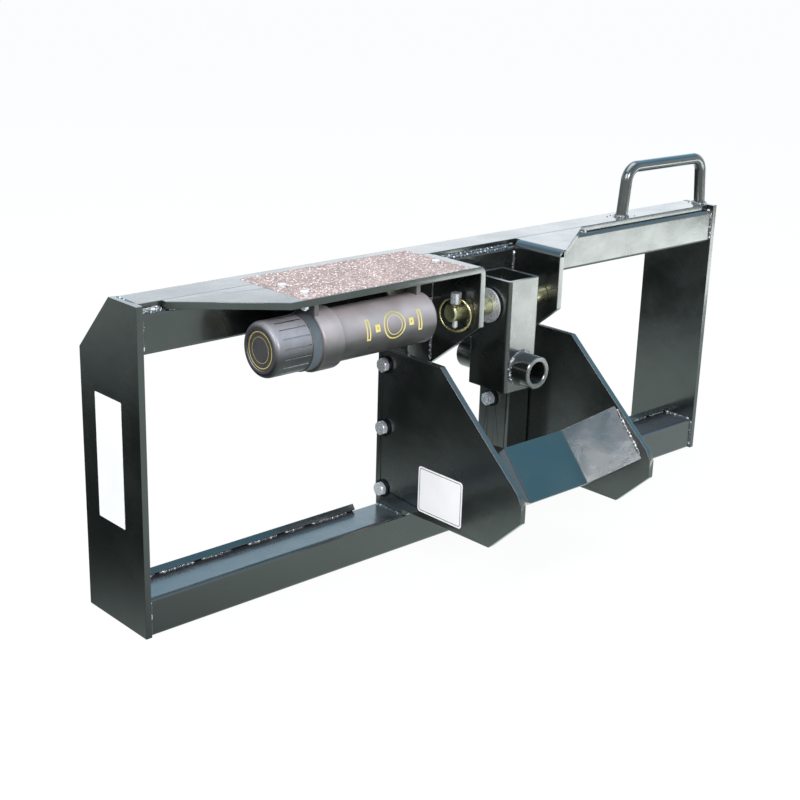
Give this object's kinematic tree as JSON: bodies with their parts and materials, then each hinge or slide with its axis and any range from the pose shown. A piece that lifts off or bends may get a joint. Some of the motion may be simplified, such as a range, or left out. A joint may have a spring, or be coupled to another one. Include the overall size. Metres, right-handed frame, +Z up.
{
  "type": "auger mounting frame",
  "caption": "Skid-steer quick-attach frame for an earth auger: hook lip, latch slots, swinging hinge tube, pivot boss, transport cradle, step plate, document tube and lifting handle.",
  "frame": {"origin": "middle of the foot of the bounding box: centre line of the frame, on the surface that it stands on", "axes": "+X to the right seen from in front, +Y back towards the loader, +Z up"},
  "size_m": [1.168, 0.3786, 0.534],
  "materials": {
    "black_paint": "gloss black enamel over welded steel",
    "zinc": "bright zinc plate",
    "bare_steel": "machined, lightly oiled",
    "yellow_zinc": "yellow zinc plate on spring wire",
    "grip_tape": "coarse mineral grit on adhesive sheet",
    "tube_plastic": "satin moulded plastic",
    "cap_plastic": "satin moulded plastic",
    "seal_rubber": "soft ring"
  },
  "bodies": {
    "frame": {"left_end_plate": "black_paint", "right_end_plate": "black_paint", "top_rail": "black_paint", "bottom_rail": "black_paint", "left_upright": "black_paint", "right_upright": "black_paint", "hook_lip": "black_paint", "left_latch_flange": "black_paint", "right_latch_flange": "black_paint", "step_plate": "black_paint", "right_ear_bracket": "black_paint", "grip_tape": "grip_tape", "lift_handle": "black_paint", "left_cradle_plate": "black_paint", "right_cradle_plate": "black_paint", "cradle_trough": "black_paint", "cradle_bolts": "zinc", "cradle_nuts": "zinc", "cradle_washers": "zinc", "document_tube": "tube_plastic", "document_tube_seal": "seal_rubber", "tube_screws": "zinc", "tube_screw_nuts": "zinc"},
    "swing": {"swing_tube": "black_paint", "hinge_bushing": "bare_steel", "thrust_washers": "zinc", "pivot_boss": "black_paint"},
    "pin": {"hinge_pin": "zinc", "lynch_pin": "zinc"},
    "ring": {"lynch_ring": "yellow_zinc"},
    "cap": {"document_tube_cap": "cap_plastic"}
  },
  "joints": [
    {"name": "swing_hinge", "type": "hinge", "parent": "frame", "child": "swing", "pos_m": [0, -0.0063, 0.375], "axis": [1, 0, 0], "range_deg": [-80, 35]},
    {"name": "pin_spin", "type": "hinge", "parent": "frame", "child": "pin", "pos_m": [0, -0.0063, 0.375], "axis": [1, 0, 0], "continuous": true},
    {"name": "ring_flip", "type": "hinge", "parent": "pin", "child": "ring", "pos_m": [-0.1005, -0.0063, 0.3955], "axis": [-0.342, 0.9397, 0], "range_deg": [0, 120]},
    {"name": "cap_off", "type": "slide", "parent": "frame", "child": "cap", "axis": [-1, 0, 0], "range_m": [0, 0.06]}
  ]
}
